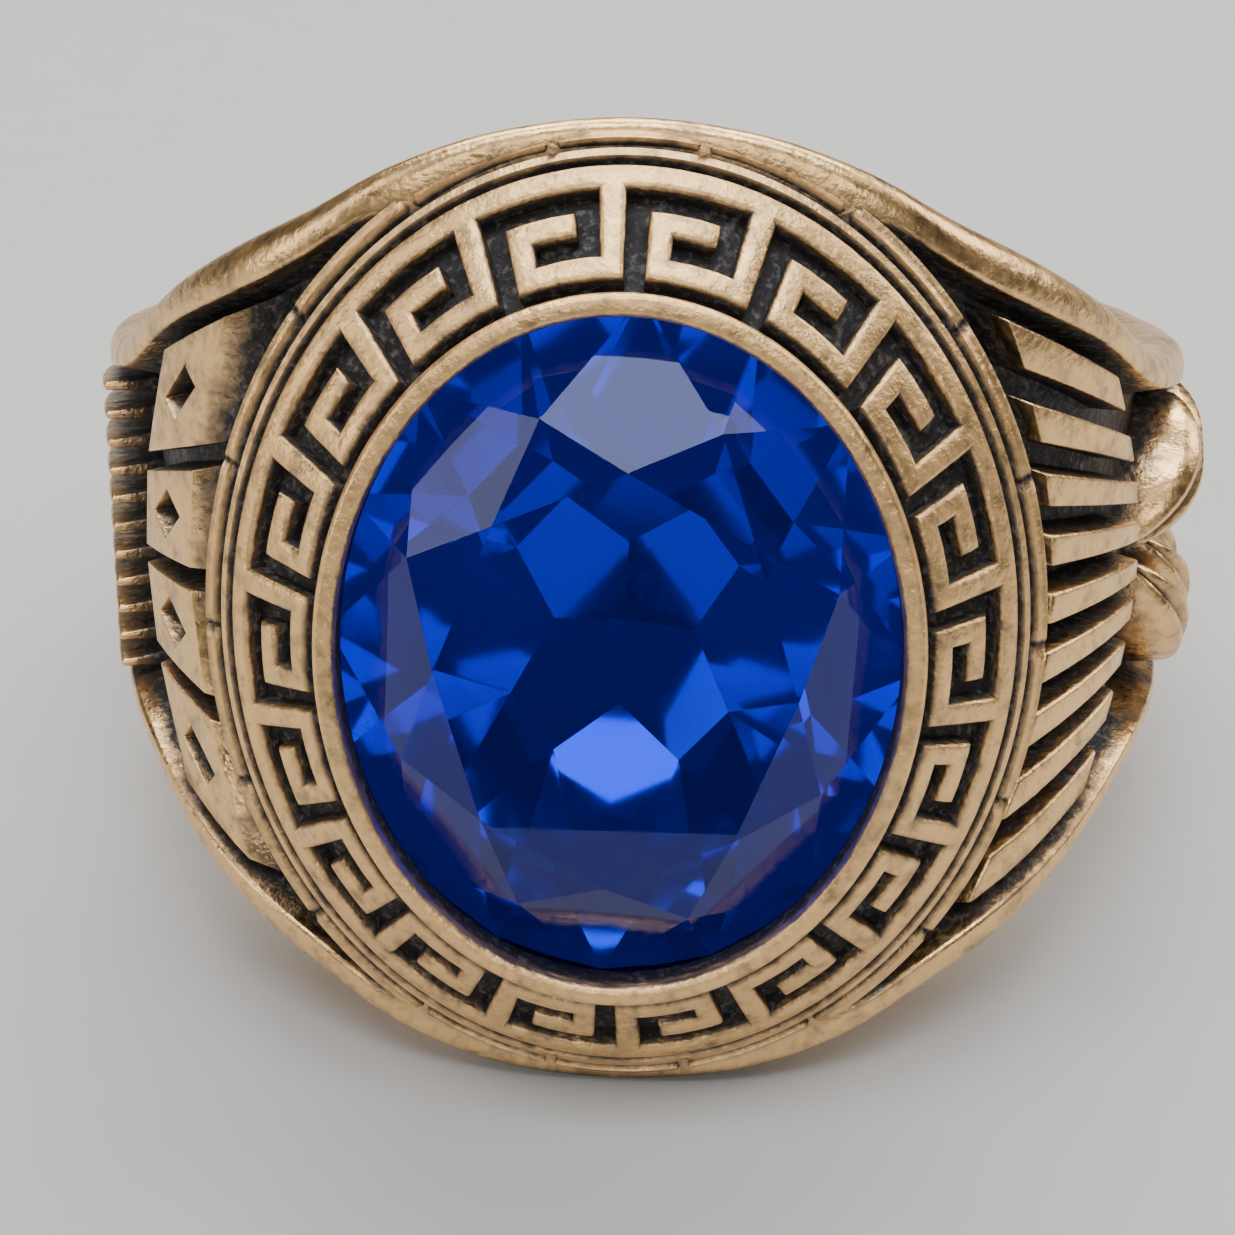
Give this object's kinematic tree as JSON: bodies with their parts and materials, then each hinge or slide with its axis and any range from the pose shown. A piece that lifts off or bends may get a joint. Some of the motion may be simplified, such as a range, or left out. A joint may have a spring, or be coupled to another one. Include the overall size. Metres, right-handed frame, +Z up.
{
  "type": "class ring",
  "caption": "Heavy signet-style class ring: an oval faceted blue stone in a bezel, a raised key pattern on the band around it, and relief on both shoulders.",
  "frame": {"origin": "middle of the ring's box, on the surface that it lies on", "axes": "+Y from the stone towards the back of the shank, +Z up, +X to the right of someone who faces the stone"},
  "size_m": [0.024, 0.0276, 0.0171],
  "materials": {
    "antiqued_gold": "satin yellow gold with dark antiquing in the recesses",
    "blue_stone": "polished facets"
  },
  "bodies": {
    "root": {"ring_body": "antiqued_gold", "stone": "blue_stone"}
  },
  "joints": []
}
